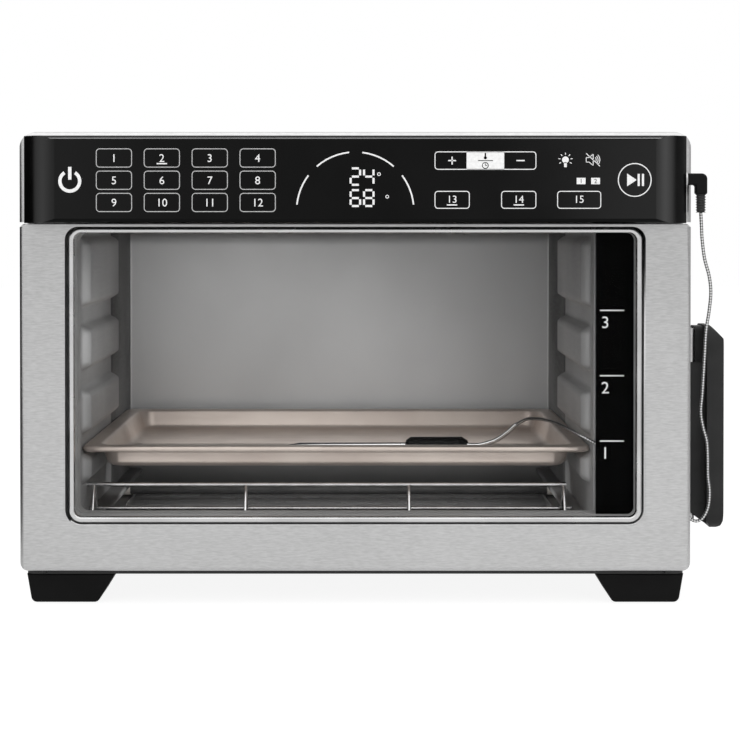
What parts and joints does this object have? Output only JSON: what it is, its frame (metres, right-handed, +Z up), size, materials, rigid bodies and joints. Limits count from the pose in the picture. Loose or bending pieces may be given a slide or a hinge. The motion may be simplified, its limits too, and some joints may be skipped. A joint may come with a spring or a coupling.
{
  "type": "air fryer oven",
  "caption": "Countertop air fryer oven with a drop-down glass door, touch panel, sliding baking pan, heater guard, wired food thermometer and side cable spool.",
  "frame": {"origin": "middle of the footprint at floor level, measured without the thermometer lead", "axes": "+X to the right seen from the front, +Y to the rear, +Z up"},
  "size_m": [0.481, 0.408, 0.3195],
  "materials": {
    "stainless": "horizontal brushed",
    "bright_rim": "polished",
    "liner_steel": "satin",
    "black_metal": "satin black",
    "black_plastic": "fine texture",
    "rubber_grey": "matt",
    "gloss_black": "gloss",
    "clear_glass": "clear",
    "lamp_glass": "frosted",
    "quartz": "milky",
    "heater_sheath": "dark oxide",
    "ceramic_white": "matt",
    "plain_steel": "plain",
    "fan_aluminium": "stamped",
    "pan_aluminium": "warm satin",
    "chromed_wire": "plated",
    "printed_black": "printed on glass",
    "circuit_board": "solder mask",
    "braided_lead": "fine braid",
    "probe_steel": "polished"
  },
  "bodies": {
    "housing": {"outer_wrap": "stainless", "header_fascia": "stainless", "spool_bracket": "stainless", "front_frame": "liner_steel", "liner_left": "liner_steel", "liner_right": "liner_steel", "liner_back": "liner_steel", "liner_top": "liner_steel", "liner_floor": "liner_steel", "crumb_tray": "liner_steel", "fan_shroud": "liner_steel", "base_pan": "black_metal", "rear_cover": "black_metal", "hinge_bracket_left": "black_metal", "hinge_bracket_right": "black_metal", "foot_front_left": "black_plastic", "foot_front_right": "black_plastic", "foot_rear_left": "black_plastic", "foot_rear_right": "black_plastic", "rear_spacers": "black_plastic", "cord_gland": "black_plastic", "cable_spool": "black_plastic", "probe_grip": "black_plastic", "probe_plug": "black_plastic", "hinge_bush_left": "black_plastic", "hinge_bush_right": "black_plastic", "foot_pads": "rubber_grey", "plug_boot": "rubber_grey", "control_panel": "gloss_black", "lamp_lens": "lamp_glass", "upper_heaters": "quartz", "lower_heaters": "heater_sheath", "heater_caps": "ceramic_white", "lamp_holder": "ceramic_white", "fan_motor": "plain_steel", "rear_screws": "plain_steel", "temperature_sensor": "plain_steel", "probe_jack": "plain_steel", "control_board": "circuit_board", "power_board": "circuit_board", "display_module": "circuit_board", "probe_cable": "braided_lead", "probe_tube": "probe_steel", "probe_needle": "probe_steel"},
    "door": {"hinge_pin_left": "plain_steel", "hinge_pin_right": "plain_steel", "door_skin": "stainless", "door_cap": "stainless", "window_rim": "bright_rim", "rim_web": "bright_rim", "window_glass": "clear_glass", "guide_strip": "printed_black", "door_inner_frame": "liner_steel", "door_bumpers": "rubber_grey"},
    "pan": {"baking_pan": "pan_aluminium"},
    "guard": {"heater_guard": "chromed_wire"},
    "fan": {"motor_shaft": "plain_steel", "fan_impeller": "fan_aluminium", "cooling_blade": "black_plastic"}
  },
  "joints": [
    {"name": "door_hinge", "type": "hinge", "parent": "housing", "child": "door", "pos_m": [-0.0155, -0.167, 0.028], "axis": [1, 0, 0], "range_deg": [0, 90], "stiffness_Nm_per_rad": 0.8, "springref_deg": -22.92},
    {"name": "pan_slide", "type": "slide", "parent": "housing", "child": "pan", "axis": [0, -1, 0], "range_m": [0, 0.127]},
    {"name": "guard_slide", "type": "slide", "parent": "housing", "child": "guard", "axis": [0, -1, 0], "range_m": [0, 0.08]},
    {"name": "fan_spin", "type": "hinge", "parent": "housing", "child": "fan", "pos_m": [-0.029, 0.0066, 0.28], "axis": [0, 0, 1], "continuous": true}
  ],
  "couplings": [
    {"joint": "pan_slide", "follows": "door_hinge", "m_per_rad": 0.08},
    {"joint": "guard_slide", "follows": "door_hinge", "m_per_rad": 0.05}
  ]
}
